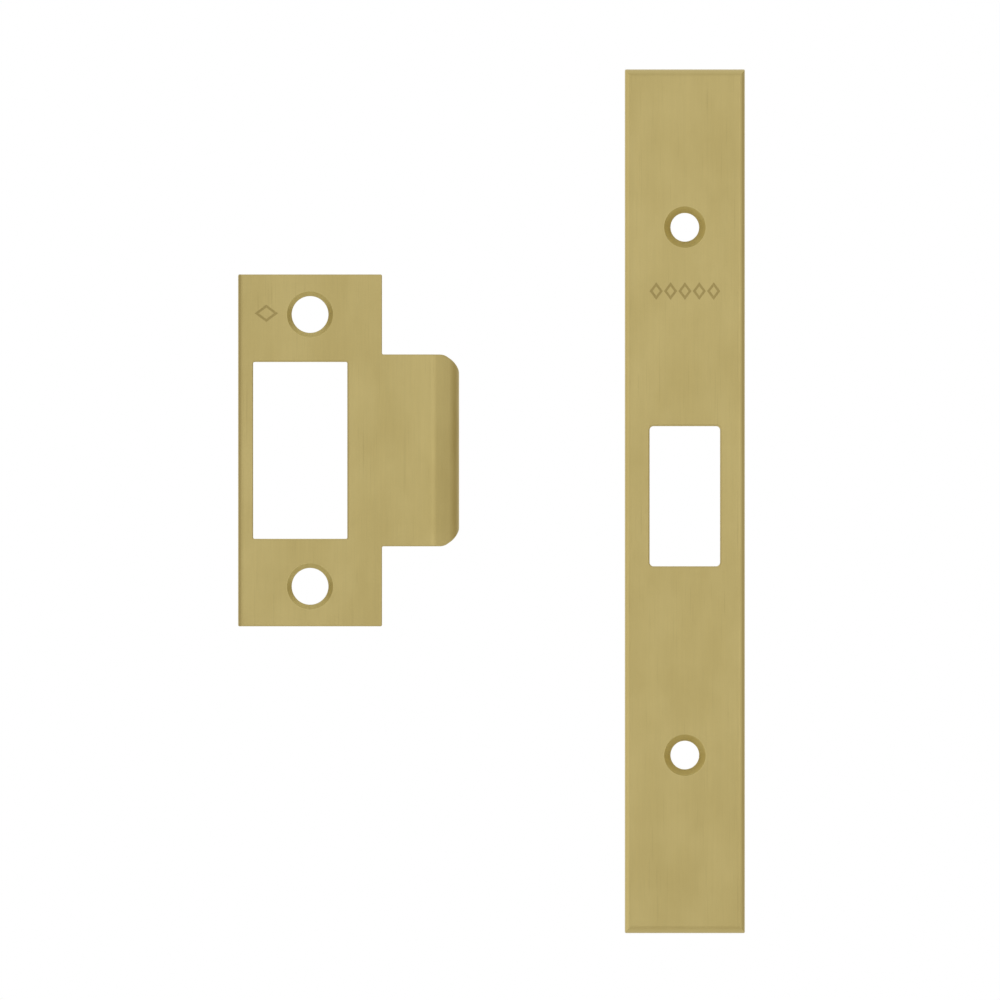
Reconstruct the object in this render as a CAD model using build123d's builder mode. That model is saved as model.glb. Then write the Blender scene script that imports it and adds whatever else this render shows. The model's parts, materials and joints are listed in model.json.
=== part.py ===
"""Trim set of a mortise door lock: the faceplate for the edge of the door, and the T-shaped strike plate.

Millimetres. +Z is up, the faces of both plates look to -Y, and their back faces lie on the plane Y = 0.
The origin is the centre of the faceplate's two screw holes, on its back face.
"""

from build123d import *

import os

# Faceplate: flat bar, rounded a little along its sides and more at its ends.
FACEPLATE_WIDTH = 23.81
FACEPLATE_HEIGHT = 171.45
FACEPLATE_THICKNESS = 3.0
FACEPLATE_DROP = 2.0  # the middle of the plate is this far below the middle of its screw holes
FACEPLATE_CORNER_RADIUS = 0.3
FACEPLATE_SIDE_RADIUS = 1.2
FACEPLATE_END_RADIUS = 1.5
FACEPLATE_SCREW_SPACING = 104.775
FACEPLATE_HOLE_RADIUS = 2.85
FACEPLATE_SINK_RADIUS = 4.15

# Bolt opening of the faceplate.
BOLT_OPENING_WIDTH = 14.0
BOLT_OPENING_HEIGHT = 27.8
BOLT_OPENING_DROP = 1.0  # below the middle of the screw holes
BOLT_OPENING_CORNER_RADIUS = 0.8
BOLT_OPENING_RIM_RADIUS = 0.45

# Strike plate: to the left of the faceplate, and a little higher.
STRIKE_X = -74.4
STRIKE_Z = 8.1
STRIKE_WIDTH = 28.575
STRIKE_HEIGHT = 69.85
STRIKE_THICKNESS = 2.0
STRIKE_CORNER_RADIUS = 0.3
STRIKE_FRONT_RADIUS = 0.3
STRIKE_OUTER_SIDE_RADIUS = 1.2  # along the side away from the lip
STRIKE_SCREW_SPACING = 53.975
STRIKE_HOLE_RADIUS = 3.65
STRIKE_SINK_RADIUS = 4.6

# Latch opening of the strike plate, off centre, away from the lip.
LATCH_OPENING_LEFT = -11.3
LATCH_OPENING_RIGHT = 7.4
LATCH_OPENING_HEIGHT = 35.1
LATCH_OPENING_CORNER_RADIUS = 0.3
LATCH_OPENING_RIM_RADIUS = 0.4

# Lip of the strike plate: flat at first, then bent back round the edge of the door frame, its end curled.
LIP_HEIGHT = 38.1
LIP_CURVE_START = 18.78  # from the middle of the strike
LIP_BOW_RADIUS = 60.0
LIP_BOW_ANGLE = 5.0
LIP_BEND_RADIUS = 3.0
LIP_BEND_ANGLE = 19.0
LIP_SLOPE_RADIUS = 40.0
LIP_SLOPE_ANGLE = 4.5
LIP_CURL_RADIUS = 3.65
LIP_CURL_ANGLE = 51.5
LIP_CORNER_CUT = 3.3
LIP_CORNER_RADIUS = 1.5  # where a cut meets the lip's sides and its end
LIP_ROOT_RADIUS = 0.3

# Details that both plates share.
SCREW_HEAD_ANGLE = 82
SINK_RIM_RADIUS = 0.12
BACK_CHAMFER = 0.2
STAMP_DEPTH = 0.2
STAMP_STROKE = 0.45

# Stamped marks: outlined lozenges, a row of them on the faceplate and one on the strike plate.
FACEPLATE_STAMP_Z = 39.7
FACEPLATE_LOZENGE_COUNT = 5
FACEPLATE_LOZENGE_PITCH = 2.85
FACEPLATE_LOZENGE_WIDTH = 2.6
FACEPLATE_LOZENGE_HEIGHT = 3.45
STRIKE_STAMP_X = -8.67
STRIKE_STAMP_Z = 27.2
STRIKE_LOZENGE_WIDTH = 4.6
STRIKE_LOZENGE_HEIGHT = 3.4

SAME_SIZE = 1e-6  # lengths or sines that differ by less than this are equal
SINE_45 = 0.5**0.5

faceplate_back = Plane.XZ
faceplate_front = faceplate_back.offset(FACEPLATE_THICKNESS)
strike_back = Plane(origin=(STRIKE_X, 0, STRIKE_Z), x_dir=(1, 0, 0), z_dir=(0, -1, 0))
strike_front = strike_back.offset(STRIKE_THICKNESS)
# Level section through the strike: local x to the right, local y towards the front.
strike_section = Plane(origin=(STRIKE_X, 0, STRIKE_Z), x_dir=(1, 0, 0), z_dir=(0, 0, -1))


def lozenge(width, height):
    """A lozenge drawn with one stroke, width by height over its points."""
    with BuildSketch() as outline:
        with BuildLine():
            Polyline((width / 2, 0), (0, height / 2), (-width / 2, 0), (0, -height / 2), close=True)
        make_face()
        offset(amount=-STAMP_STROKE, kind=Kind.INTERSECTION, mode=Mode.SUBTRACT)
    return outline.sketch


def flat_faces(plate):
    """The flat front face and the flat back face of a plate."""
    return plate.faces().filter_by(Plane.XZ).sort_by(SortBy.AREA)[-2:].sort_by(Axis.Y)


def circles(plate, radius):
    """The circular edges of a plate that have this radius."""
    edges = plate.edges().filter_by(GeomType.CIRCLE)
    return edges.filter_by(lambda edge: abs(edge.radius - radius) < SAME_SIZE)


def slanting_faces(plate):
    """The flat faces of a plate that slant up or down at 45 degrees."""
    flat = plate.faces().filter_by(GeomType.PLANE)
    return flat.filter_by(lambda face: abs(abs(face.normal_at().Z) - SINE_45) < SAME_SIZE)


faceplate_lozenge = lozenge(FACEPLATE_LOZENGE_WIDTH, FACEPLATE_LOZENGE_HEIGHT)
strike_lozenge = lozenge(STRIKE_LOZENGE_WIDTH, STRIKE_LOZENGE_HEIGHT)

with BuildPart(faceplate_front) as faceplate:
    # A flat bar with nearly sharp corners.
    with BuildSketch(faceplate_back):
        with Locations((0, -FACEPLATE_DROP)):
            RectangleRounded(FACEPLATE_WIDTH, FACEPLATE_HEIGHT, FACEPLATE_CORNER_RADIUS)
    extrude(amount=FACEPLATE_THICKNESS)

    # Its front is rounded over along both sides, and then across both ends.
    with BuildSketch(Plane.XY) as level_section:
        with Locations((0, -FACEPLATE_THICKNESS / 2)):
            Rectangle(FACEPLATE_WIDTH, FACEPLATE_THICKNESS)
        fillet(level_section.vertices().group_by(Axis.Y)[0], FACEPLATE_SIDE_RADIUS)
    extrude(amount=FACEPLATE_HEIGHT, both=True, mode=Mode.INTERSECT)
    with BuildSketch(Plane.YZ) as upright_section:
        with Locations((-FACEPLATE_THICKNESS / 2, -FACEPLATE_DROP)):
            Rectangle(FACEPLATE_THICKNESS, FACEPLATE_HEIGHT)
        fillet(upright_section.vertices().group_by(Axis.X)[0], FACEPLATE_END_RADIUS)
    extrude(amount=FACEPLATE_WIDTH, both=True, mode=Mode.INTERSECT)

    # Bolt opening, with a rounded front rim.
    with BuildSketch(faceplate_back):
        with Locations((0, -BOLT_OPENING_DROP)):
            RectangleRounded(BOLT_OPENING_WIDTH, BOLT_OPENING_HEIGHT, BOLT_OPENING_CORNER_RADIUS)
    extrude(amount=FACEPLATE_THICKNESS, mode=Mode.SUBTRACT)
    front, back = flat_faces(faceplate)
    fillet(front.inner_wires()[0].edges(), BOLT_OPENING_RIM_RADIUS)
    chamfer(back.edges(), BACK_CHAMFER)

    with GridLocations(0, FACEPLATE_SCREW_SPACING, 1, 2):
        CounterSinkHole(FACEPLATE_HOLE_RADIUS, FACEPLATE_SINK_RADIUS, counter_sink_angle=SCREW_HEAD_ANGLE)
    fillet(circles(faceplate, FACEPLATE_SINK_RADIUS), SINK_RIM_RADIUS)

    with BuildSketch(faceplate_front):
        with Locations((0, FACEPLATE_STAMP_Z)):
            with GridLocations(FACEPLATE_LOZENGE_PITCH, 0, FACEPLATE_LOZENGE_COUNT, 1):
                add(faceplate_lozenge)
    extrude(amount=-STAMP_DEPTH, mode=Mode.SUBTRACT)

with BuildPart(strike_front) as strike_plate:
    # The body, and the lip at its middle.
    with BuildSketch(strike_back):
        RectangleRounded(STRIKE_WIDTH, STRIKE_HEIGHT, STRIKE_CORNER_RADIUS)
    extrude(amount=STRIKE_THICKNESS)
    with BuildSketch(strike_section):
        with BuildLine():
            flat = Line((STRIKE_WIDTH / 2, STRIKE_THICKNESS), (LIP_CURVE_START, STRIKE_THICKNESS))
            bow = JernArc(flat @ 1, flat % 1, LIP_BOW_RADIUS, -LIP_BOW_ANGLE)
            bend = JernArc(bow @ 1, bow % 1, LIP_BEND_RADIUS, -LIP_BEND_ANGLE)
            slope = JernArc(bend @ 1, bend % 1, LIP_SLOPE_RADIUS, -LIP_SLOPE_ANGLE)
            JernArc(slope @ 1, slope % 1, LIP_CURL_RADIUS, -LIP_CURL_ANGLE)
            offset(amount=STRIKE_THICKNESS, side=Side.RIGHT)
        make_face()
    extrude(amount=LIP_HEIGHT / 2, both=True)

    # The lip's outer corners are cut off, and the cuts are rounded into its sides and its end.
    lip_end = strike_plate.faces().filter_by(GeomType.PLANE).sort_by(Axis.X)[-1]
    chamfer(lip_end.edges().filter_by(Axis.Z, reverse=True), LIP_CORNER_CUT)
    fillet(slanting_faces(strike_plate).edges().filter_by(GeomType.LINE), LIP_CORNER_RADIUS)

    # The lip's roots, which stand between the body's corners.
    lip_roots = strike_plate.edges().filter_by(Axis.Y).sort_by(Axis.Z)[4:-4]
    fillet(lip_roots, LIP_ROOT_RADIUS)

    # Edges all round. The line where the lip starts to curve, last along X, is not one of them.
    front, back = flat_faces(strike_plate)
    fillet(front.edges().sort_by(Axis.X)[:-1], STRIKE_FRONT_RADIUS)
    chamfer(back.edges().sort_by(Axis.X)[:-1], BACK_CHAMFER)

    # A wider rounding along the side away from the lip.
    with BuildSketch(strike_section):
        with Locations(
            (STRIKE_OUTER_SIDE_RADIUS - STRIKE_WIDTH / 2, STRIKE_THICKNESS - STRIKE_OUTER_SIDE_RADIUS)
        ):
            Rectangle(STRIKE_OUTER_SIDE_RADIUS, STRIKE_OUTER_SIDE_RADIUS, align=(Align.MAX, Align.MIN))
            Circle(STRIKE_OUTER_SIDE_RADIUS, mode=Mode.SUBTRACT)
    extrude(amount=STRIKE_HEIGHT / 2, both=True, mode=Mode.SUBTRACT)

    # Latch opening, with a rounded front rim.
    with BuildSketch(strike_back):
        with Locations(((LATCH_OPENING_LEFT + LATCH_OPENING_RIGHT) / 2, 0)):
            RectangleRounded(
                LATCH_OPENING_RIGHT - LATCH_OPENING_LEFT, LATCH_OPENING_HEIGHT, LATCH_OPENING_CORNER_RADIUS
            )
    extrude(amount=STRIKE_THICKNESS, mode=Mode.SUBTRACT)
    front, back = flat_faces(strike_plate)
    fillet(front.inner_wires()[0].edges(), LATCH_OPENING_RIM_RADIUS)
    chamfer(back.inner_wires()[0].edges(), BACK_CHAMFER)

    with GridLocations(0, STRIKE_SCREW_SPACING, 1, 2):
        CounterSinkHole(STRIKE_HOLE_RADIUS, STRIKE_SINK_RADIUS, counter_sink_angle=SCREW_HEAD_ANGLE)
    fillet(circles(strike_plate, STRIKE_SINK_RADIUS), SINK_RIM_RADIUS)

    with BuildSketch(strike_front):
        with Locations((STRIKE_STAMP_X, STRIKE_STAMP_Z)):
            add(strike_lozenge)
    extrude(amount=-STAMP_DEPTH, mode=Mode.SUBTRACT)

faceplate.part.label = "faceplate"
strike_plate.part.label = "strike_plate"
os.makedirs("parts", exist_ok=True)
export_step(faceplate.part, "parts/faceplate.step")
export_step(strike_plate.part, "parts/strike_plate.step")
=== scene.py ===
# Looks for a brass lock faceplate and its strike plate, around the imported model.
import json
import math

import bpy
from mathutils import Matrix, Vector


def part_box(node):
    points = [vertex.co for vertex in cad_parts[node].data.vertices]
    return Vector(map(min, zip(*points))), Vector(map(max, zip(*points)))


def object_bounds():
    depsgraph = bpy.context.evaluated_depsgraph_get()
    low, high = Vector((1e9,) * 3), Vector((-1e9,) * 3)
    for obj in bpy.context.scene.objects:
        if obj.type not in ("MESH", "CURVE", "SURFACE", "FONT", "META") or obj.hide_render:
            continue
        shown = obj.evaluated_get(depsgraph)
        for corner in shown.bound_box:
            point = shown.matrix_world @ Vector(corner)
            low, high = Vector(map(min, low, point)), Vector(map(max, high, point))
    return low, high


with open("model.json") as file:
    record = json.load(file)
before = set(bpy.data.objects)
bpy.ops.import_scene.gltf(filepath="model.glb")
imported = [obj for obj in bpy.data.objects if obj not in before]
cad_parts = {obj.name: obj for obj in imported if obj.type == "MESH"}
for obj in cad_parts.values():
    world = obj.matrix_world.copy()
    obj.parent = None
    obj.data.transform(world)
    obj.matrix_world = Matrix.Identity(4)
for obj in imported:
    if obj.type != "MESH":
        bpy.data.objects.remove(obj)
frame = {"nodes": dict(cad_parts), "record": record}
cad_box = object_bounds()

MM = 0.001  # one millimetre in scene units

# Stamped marks: their middles, from the middle of each plate's screw holes, and their sizes, in mm.
FACEPLATE_STAMP = ((0.0, 39.7), (14.6, 3.9))
STRIKE_STAMP = ((-8.67, 27.2), (5.0, 3.8))
STAMP_SOFTNESS = 0.3
STAMP_DEPTHS = (0.03, 0.12, 0.4, 0.6)  # below the face: the mark starts, is full, starts to fade, ends

# Countersinks, in millimetres.
FACEPLATE_SINK_RADIUS = 4.27
STRIKE_SINK_RADIUS = 4.72
SINK_SOFTNESS = 0.15

# The strike's lip curves back from here, in millimetres from the middle of its screw holes,
# through arcs one after another: (radius, degrees).
LIP_CURVE_START = 18.78
LIP_ARCS = ((60.0, 5.0), (3.0, 19.0), (40.0, 4.5), (3.65, 51.5))

# How squarely a surface faces out of the sheet, where each kind of surface starts and where it is full.
EDGE_SQUARENESS = (0.975, 0.80)
WALL_SQUARENESS = (0.30, 0.12)
BACK_SQUARENESS = (-0.35, -0.60)

# Grain sizes along X, Y and Z, in millimetres. The brushing runs along Z.
HAIRS = (0.06, 0.06, 5.0)
SCRATCHES = (0.16, 0.16, 14.0)
STREAKS = (0.55, 0.55, 45.0)
MOTTLE = (9.0, 9.0, 16.0)
SMUDGES = (4.0, 4.0, 6.0)
SHEAR_LINES = (0.12, 2.5, 0.12)
TURNED_RINGS = (0.8, 0.07, 0.8)
MILL_MARKS = (0.35, 0.35, 3.0)
SPOTS = (1.3, 1.3, 1.3)

# The values of noise between which scratches, blotches and spots come up.
SCRATCH_BAND = (0.66, 0.76)
BLOTCH_BAND = (0.30, 0.70)
SPOT_BAND = (0.58, 0.72)

# Satin brass. Colours are linear.
BRASS_FACE = (0.50, 0.402, 0.161, 1.0)
BRASS_DEEP = (0.44, 0.348, 0.130, 1.0)
BRASS_PALE = (0.56, 0.46, 0.198, 1.0)
BRASS_CUT = (0.60, 0.51, 0.22, 1.0)
# Tarnish on the back, and also painted shade on the floor and sides of the stamped mark.
BRASS_TARNISH_AND_SHADE = (0.30, 0.225, 0.075, 1.0)
FACE_EVENNESS = 0.72  # share of the plain face colour in the mottled face
EDGE_WEAR = 0.6  # how far a worn edge takes on its own colour and roughness

# What streaks, hairs and scratches multiply the colour by.
STREAK_TONE = (0.965, 1.035)
HAIR_TONE = (0.90, 1.10)
SCRATCH_TONE = (1.0, 0.93)

# Roughness: one value, or the range that noise moves it through.
ROUGH_FACE = (0.37, 0.43)
ROUGH_EDGE = 0.30
ROUGH_WALL = (0.34, 0.52)
ROUGH_SINK = (0.24, 0.40)
ROUGH_BACK = (0.42, 0.60)
ROUGH_STAMP = 0.45
HAIR_ROUGHNESS = (-0.10, 0.10)  # added to the face's
SCRATCH_ROUGHNESS = (0.0, 0.08)  # added to the face's
BUMP_DEPTH = 0.006 * MM
BUMP_STRENGTH = 0.6

VIEW_WIDTH = 198.4 * MM
VIEW_DISTANCE = 3.0
VIEW_OFFSET = Vector((1.7 * MM, 0, 0.25 * MM))  # from the object's middle to the view's
SENSOR_WIDTH = 36.0
FLOOR_DROP = 37 * MM
FLOOR_RADIUS = 0.72
FLOOR_SIDES = 96
FLOOR_FADE = 0.12  # where the fade towards the rim starts, as a share of the radius
FLOOR_TONE = (0.97, 0.97, 0.96, 1.0)

# What the brass reflects: white ahead, behind and above, and a dimmer, warmer tone at the sides.
ROOM_WHITE = (0.97, 0.975, 0.98, 1.0)
ROOM_SIDE = (0.52, 0.48, 0.38, 1.0)
ROOM_ABOVE = 0.85  # how near the top of the room comes to white
ROOM_AHEAD = (0.0, -0.99, -0.14)  # the middle of the white ahead
AHEAD_FADE = (0.05, 0.90)  # cosine of the angle to that middle, where the white starts and is full
BEHIND_FADE = (0.25, 0.75)  # the same along +Y
ABOVE_FADE = (0.20, 0.90)  # the same along +Z
BACKGROUND = (1.0, 1.0, 1.0, 1.0)
CARD_DEPTH = 30 * MM
CARD_MARGIN = 10 * MM
CARD_RADIANCE = 0.28
KEY_WAY = Vector((0.42, -0.90, -0.02))
KEY_DISTANCE = 1.0
KEY_SIZE = (0.28, 0.55)
KEY_RADIANCE = 0.31


class Nodes:
    """A node tree in the making, with short ways to add its nodes. Inputs are values or other outputs."""

    def __init__(self, tree):
        self.tree = tree
        tree.nodes.clear()

    def node(self, kind, inputs, **settings):
        made = self.tree.nodes.new(kind)
        for name, value in settings.items():
            setattr(made, name, value)
        for key, value in inputs.items():
            if isinstance(value, bpy.types.NodeSocket):
                self.tree.links.new(value, made.inputs[key])
            else:
                made.inputs[key].default_value = value
        return made

    def maths(self, operation, *values):
        return self.node("ShaderNodeMath", dict(enumerate(values)), operation=operation).outputs[0]

    def vector(self, operation, *values, output="Vector"):
        made = self.node("ShaderNodeVectorMath", dict(enumerate(values)), operation=operation)
        return made.outputs[output]

    def rise(self, value, low, high):
        """0 where value is at low, 1 where it is at high, with a smooth step between."""
        inputs = {"Value": value, "From Min": low, "From Max": high}
        return self.node("ShaderNodeMapRange", inputs, interpolation_type="SMOOTHSTEP").outputs[0]

    def blend(self, share, first, second):
        return self.node("ShaderNodeMix", {0: share, 2: first, 3: second}, data_type="FLOAT").outputs[0]

    def blend_colour(self, share, first, second, how="MIX"):
        inputs = {0: share, 6: first, 7: second}
        return self.node("ShaderNodeMix", inputs, data_type="RGBA", blend_type=how).outputs[2]

    def noise(self, place, sizes, detail=2.0, roughness=0.5):
        """Noise from 0 to 1, whose grains are about sizes (x, y, z) across, in the units of place."""
        scaled = self.vector("MULTIPLY", place, [1 / size for size in sizes])
        inputs = {"Vector": scaled, "Scale": 1.0, "Detail": detail, "Roughness": roughness}
        return self.node("ShaderNodeTexNoise", inputs).outputs["Fac"]

    def apart(self, vector):
        return self.node("ShaderNodeSeparateXYZ", {0: vector}).outputs

    def together(self, x=0.0, y=0.0, z=0.0):
        return self.node("ShaderNodeCombineXYZ", {0: x, 1: y, 2: z}).outputs[0]


def lip_lean(n, x):
    """Sine of the angle that the strike's sheet leans back by at x. It is 0 until the lip curves."""
    lean = 0.0
    start = LIP_CURVE_START
    angle = 0.0
    for radius, degrees in LIP_ARCS:
        turned = angle + math.radians(degrees)
        step = math.sin(turned) - math.sin(angle)
        inputs = {"Value": x, "From Min": start, "From Max": start + radius * step, "To Max": step}
        lean = n.maths("ADD", lean, n.node("ShaderNodeMapRange", inputs).outputs[0])
        start += radius * step
        angle = turned
    return lean


def facing(n, normal, lean):
    """How squarely a point faces out of the sheet: 1 on its front, 0 on a wall, -1 on its back."""
    upright = n.maths("SQRT", n.maths("SUBTRACT", 1.0, n.maths("MULTIPLY", lean, lean)))
    sheet = n.together(lean, n.maths("MULTIPLY", upright, -1.0))
    return n.vector("DOT_PRODUCT", normal, sheet, output="Value")


def stamped(n, x, z, depth, stamp):
    """1 on the floor and sides of the stamped mark, which lies below the face, and 0 elsewhere."""
    starts, full, fades, ends = STAMP_DEPTHS
    mark = n.maths("MULTIPLY", n.rise(depth, starts, full), n.rise(depth, ends, fades))
    for value, middle, width in zip((x, z), *stamp):
        off = n.maths("ABSOLUTE", n.maths("SUBTRACT", value, middle))
        mark = n.maths("MULTIPLY", mark, n.rise(off, width / 2 + STAMP_SOFTNESS, width / 2))
    return mark


def surfaces(n, place, normal, node, screws, sink_radius, stamp, lean_at=None):
    """Masks of edges, cut walls, the back, countersinks and the mark, and a place round the nearer hole."""
    x, y, z = n.apart(n.vector("SUBTRACT", place, Vector(screws["pos_m"]) / MM))
    square = facing(n, normal, lean_at(n, x) if lean_at else 0.0)
    squareness = n.maths("ABSOLUTE", square)
    back = n.rise(square, *BACK_SQUARENESS)

    # Both screw holes are the same distance from the middle.
    half_spacing = screws["dims"]["spacing_y_mm"] / 2
    from_row = n.maths("SUBTRACT", n.maths("ABSOLUTE", z), half_spacing)
    radius = n.vector("LENGTH", n.together(x, from_row), output="Value")
    sink = n.rise(radius, sink_radius, sink_radius - SINK_SOFTNESS)

    face = (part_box(node)[0].y - screws["pos_m"][1]) / MM
    depth = n.maths("SUBTRACT", y, face)
    return {
        "edge": n.rise(squareness, *EDGE_SQUARENESS),
        "wall": n.rise(squareness, *WALL_SQUARENESS),
        "back": back,
        "sink": n.maths("MULTIPLY", sink, n.maths("SUBTRACT", 1.0, back)),
        "stamp": stamped(n, x, z, depth, stamp),
        "radius": radius,
        "outward": n.vector("NORMALIZE", n.together(x, 0.0, from_row)),
        "side": n.maths("SIGN", z),
    }


def grains(n, place, where):
    """Tool marks and blemishes, as noise."""
    turned_place = n.vector("ADD", where["outward"], n.together(y=where["radius"]))
    return {
        "hairs": n.noise(place, HAIRS, detail=4.0, roughness=0.65),
        "scratches": n.rise(n.noise(place, SCRATCHES, detail=1.0), *SCRATCH_BAND),
        "streaks": n.noise(place, STREAKS, detail=3.0, roughness=0.6),
        "mottle": n.rise(n.noise(place, MOTTLE, detail=3.0, roughness=0.55), *BLOTCH_BAND),
        "smudges": n.rise(n.noise(place, SMUDGES), *BLOTCH_BAND),
        "shear": n.noise(place, SHEAR_LINES, detail=3.0, roughness=0.6),
        "turned": n.noise(turned_place, TURNED_RINGS, roughness=0.6),
        "milled": n.noise(place, MILL_MARKS, detail=5.0, roughness=0.7),
        "spots": n.rise(n.noise(place, SPOTS, detail=4.0, roughness=0.65), *SPOT_BAND),
    }


def brass_colour(n, where, grain):
    """Brushed faces, pale worn edges, deeper cut walls, bright countersinks, a dull tarnished back, and
    painted shade that darkens the stamped mark.
    """
    colour = n.blend_colour(grain["mottle"], BRASS_DEEP, BRASS_PALE)
    colour = n.blend_colour(FACE_EVENNESS, colour, BRASS_FACE)
    tone = n.blend(grain["streaks"], *STREAK_TONE)
    tone = n.maths("MULTIPLY", tone, n.blend(grain["hairs"], *HAIR_TONE))
    tone = n.maths("MULTIPLY", tone, n.blend(grain["scratches"], *SCRATCH_TONE))
    colour = n.blend_colour(1.0, colour, n.together(tone, tone, tone), how="MULTIPLY")
    for surface, tint, share in (
        ("edge", BRASS_PALE, EDGE_WEAR),
        ("wall", BRASS_DEEP, n.blend(grain["shear"], 0.1, 0.7)),
        ("sink", BRASS_CUT, n.blend(grain["turned"], 0.5, 1.0)),
        ("back", BRASS_TARNISH_AND_SHADE, n.blend(grain["spots"], 0.18, 0.65)),
        # Painted shade: the stamped mark's floor and sides are darkened towards the tarnish colour, as if
        # shaded in their recess.
        ("stamp", BRASS_TARNISH_AND_SHADE, 0.55),
    ):
        colour = n.blend_colour(n.maths("MULTIPLY", where[surface], share), colour, tint)
    return colour


def brass_roughness(n, where, grain):
    rough = n.blend(grain["smudges"], *ROUGH_FACE)
    rough = n.maths("ADD", rough, n.blend(grain["hairs"], *HAIR_ROUGHNESS))
    rough = n.maths("ADD", rough, n.blend(grain["scratches"], *SCRATCH_ROUGHNESS))
    rough = n.blend(n.maths("MULTIPLY", where["edge"], EDGE_WEAR), rough, ROUGH_EDGE)
    rough = n.blend(where["wall"], rough, n.blend(grain["shear"], *ROUGH_WALL))
    rough = n.blend(where["sink"], rough, n.blend(grain["turned"], *ROUGH_SINK))
    rough = n.blend(where["back"], rough, n.blend(grain["spots"], *ROUGH_BACK))
    return n.blend(where["stamp"], rough, ROUGH_STAMP)


def brass_bump(n, where, grain):
    height = n.maths("SUBTRACT", grain["hairs"], n.maths("MULTIPLY", grain["scratches"], 0.8))
    for surface, marks in (("wall", "shear"), ("sink", "turned"), ("back", "milled")):
        height = n.blend(where[surface], height, grain[marks])
    inputs = {"Strength": BUMP_STRENGTH, "Distance": BUMP_DEPTH, "Height": height}
    return n.node("ShaderNodeBump", inputs).outputs[0]


def brass_tangent(n, where):
    """Highlights spread across the brushing, and down the cone of a countersink."""
    down_cone = n.vector("MULTIPLY", where["outward"], n.together(1.0, 1.0, where["side"]))
    inputs = {0: where["sink"], 4: n.together(x=1.0), 5: down_cone}
    return n.node("ShaderNodeMix", inputs, data_type="VECTOR").outputs[1]


def brass(name, node, screws, sink_radius, stamp, lean_at=None):
    """Satin brass, brushed along Z, for one plate."""
    material = bpy.data.materials.new(name)
    material.use_nodes = True
    n = Nodes(material.node_tree)
    coordinates = n.node("ShaderNodeTexCoord", {}).outputs
    place = n.vector("MULTIPLY", coordinates["Object"], [1 / MM] * 3)
    where = surfaces(n, place, coordinates["Normal"], node, screws, sink_radius, stamp, lean_at)
    grain = grains(n, place, where)
    shader = n.node(
        "ShaderNodeBsdfPrincipled",
        {
            "Base Color": brass_colour(n, where, grain),
            "Metallic": 1.0,
            "Roughness": brass_roughness(n, where, grain),
            "Normal": brass_bump(n, where, grain),
            "Anisotropic": 0.35,
            "Tangent": brass_tangent(n, where),
            "Coat Weight": 0.08,
            "Coat Roughness": 0.25,
        },
    )
    n.node("ShaderNodeOutputMaterial", {"Surface": shader.outputs[0]})
    return material


def dress(node, material):
    """Give a CAD plate its material."""
    slots = frame["nodes"][node].data.materials
    slots.clear()
    slots.append(material)


def softbox(name, place, aim, size, radiance):
    """A rectangular light that faces aim. The camera doesn't see it."""
    light = bpy.data.lights.new(name, "AREA")
    light.shape = "RECTANGLE"
    light.size, light.size_y = size
    light.energy = 4 * radiance * light.size * light.size_y
    lamp = bpy.data.objects.new(name, light)
    bpy.context.scene.collection.objects.link(lamp)
    lamp.location = place
    lamp.rotation_euler = (aim - place).to_track_quat("-Z", "Y").to_euler()
    lamp.visible_camera = False


def studio_world():
    """White to the camera. Around the brass, white ahead, behind and above, and dimmer at the sides."""
    world = bpy.data.worlds.new("studio")
    world.use_nodes = True
    bpy.context.scene.world = world
    n = Nodes(world.node_tree)
    direction = n.node("ShaderNodeTexCoord", {}).outputs["Generated"]
    way = n.apart(direction)
    ahead = n.rise(n.vector("DOT_PRODUCT", direction, ROOM_AHEAD, output="Value"), *AHEAD_FADE)
    behind = n.rise(way[1], *BEHIND_FADE)
    above = n.maths("MULTIPLY", n.rise(way[2], *ABOVE_FADE), ROOM_ABOVE)
    white = n.maths("MAXIMUM", n.maths("MAXIMUM", ahead, behind), above)
    seen = n.node("ShaderNodeLightPath", {}).outputs["Is Camera Ray"]
    colour = n.blend_colour(seen, n.blend_colour(white, ROOM_SIDE, ROOM_WHITE), BACKGROUND)
    shade = n.node("ShaderNodeBackground", {"Color": colour, "Strength": 1.0})
    n.node("ShaderNodeOutputWorld", {"Surface": shade.outputs[0]})


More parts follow.
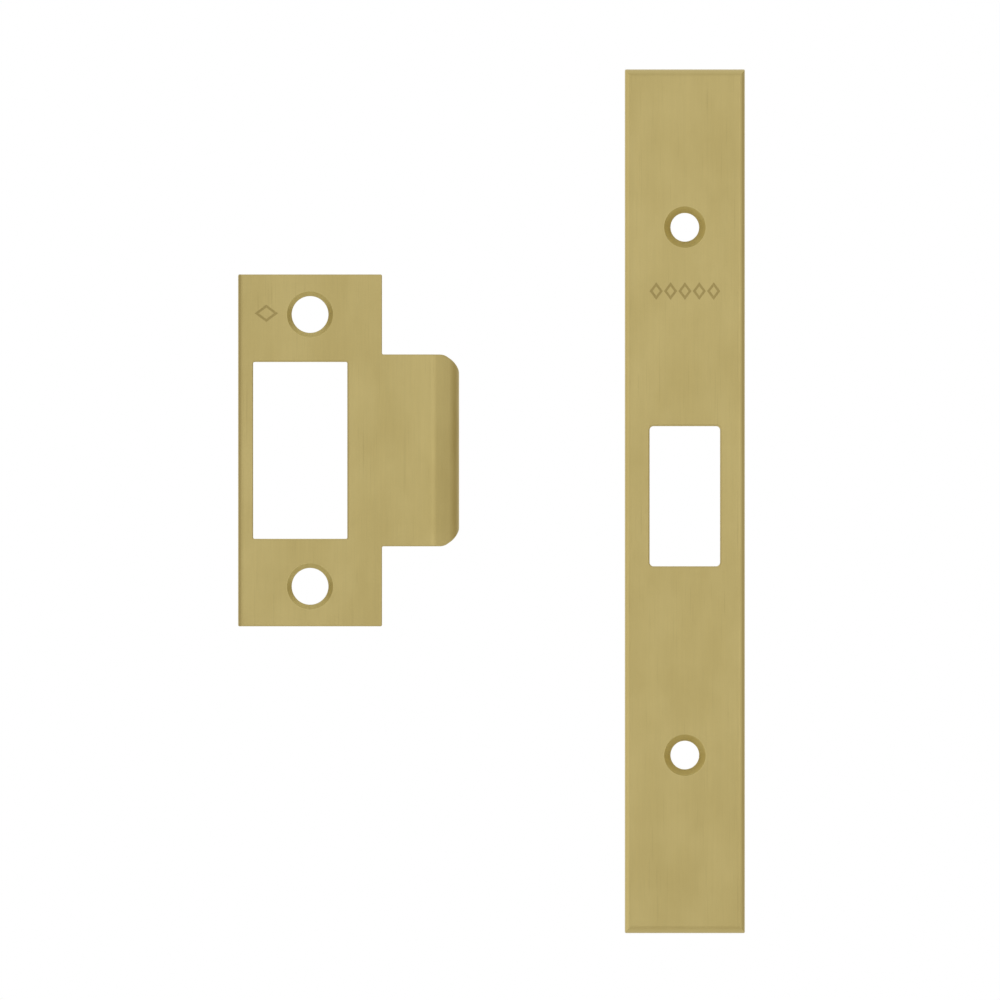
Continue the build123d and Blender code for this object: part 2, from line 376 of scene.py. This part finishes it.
def pale_floor():
    """Matt and pale, fading out towards its rim, and clear from below."""
    material = bpy.data.materials.new("pale_floor")
    material.use_nodes = True
    n = Nodes(material.node_tree)
    place = n.node("ShaderNodeTexCoord", {}).outputs["Object"]
    out = n.rise(n.vector("LENGTH", place, output="Value"), FLOOR_FADE * FLOOR_RADIUS, FLOOR_RADIUS)
    below = n.node("ShaderNodeNewGeometry", {}).outputs["Backfacing"]
    matt = n.node("ShaderNodeBsdfDiffuse", {"Color": FLOOR_TONE}).outputs[0]
    clear = n.node("ShaderNodeBsdfTransparent", {}).outputs[0]
    surface = n.node("ShaderNodeMixShader", {0: n.maths("MAXIMUM", out, below), 1: matt, 2: clear})
    n.node("ShaderNodeOutputMaterial", {"Surface": surface.outputs[0]})
    return material


def studio_floor(middle, low):
    """A round floor, just below the view of the camera."""
    bpy.ops.mesh.primitive_circle_add(vertices=FLOOR_SIDES, radius=FLOOR_RADIUS, fill_type="NGON")
    floor = bpy.context.object
    floor.name = "floor"
    floor.location = (middle.x, 0.0, low.z - FLOOR_DROP)
    floor.data.materials.append(pale_floor())


def studio_lights(middle, low, high):
    """A large softbox ahead and to the right, and a card between the plates."""
    softbox("key", middle + KEY_WAY.normalized() * KEY_DISTANCE, middle, KEY_SIZE, KEY_RADIANCE)
    gap = (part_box("strike_plate")[1].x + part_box("faceplate")[0].x) / 2
    card = Vector((gap, low.y, middle.z))
    card_size = (CARD_DEPTH, high.z - low.z + 2 * CARD_MARGIN)
    softbox("card", card, card + Vector((1, 0, 0)), card_size, CARD_RADIANCE)


def studio_camera(middle, low):
    camera = bpy.data.objects.new("camera", bpy.data.cameras.new("camera"))
    bpy.context.scene.collection.objects.link(camera)
    camera.location = middle + VIEW_OFFSET
    camera.location.y = low.y - VIEW_DISTANCE
    camera.rotation_euler = (math.pi / 2, 0, 0)
    camera.data.sensor_width = SENSOR_WIDTH
    camera.data.lens = SENSOR_WIDTH * VIEW_DISTANCE / VIEW_WIDTH
    bpy.context.scene.camera = camera


mounts = {mount["name"]: mount for mount in frame["record"]["mounts"]}
dress(
    "faceplate",
    brass(
        "faceplate_brass",
        "faceplate",
        mounts["faceplate_screws"],
        FACEPLATE_SINK_RADIUS,
        FACEPLATE_STAMP,
    ),
)
dress(
    "strike_plate",
    brass(
        "strike_brass",
        "strike_plate",
        mounts["strike_screws"],
        STRIKE_SINK_RADIUS,
        STRIKE_STAMP,
        lean_at=lip_lean,
    ),
)

low, high = cad_box
middle = (low + high) / 2
studio_world()
studio_floor(middle, low)
studio_lights(middle, low, high)
studio_camera(middle, low)
bpy.context.scene.view_settings.view_transform = "Standard"
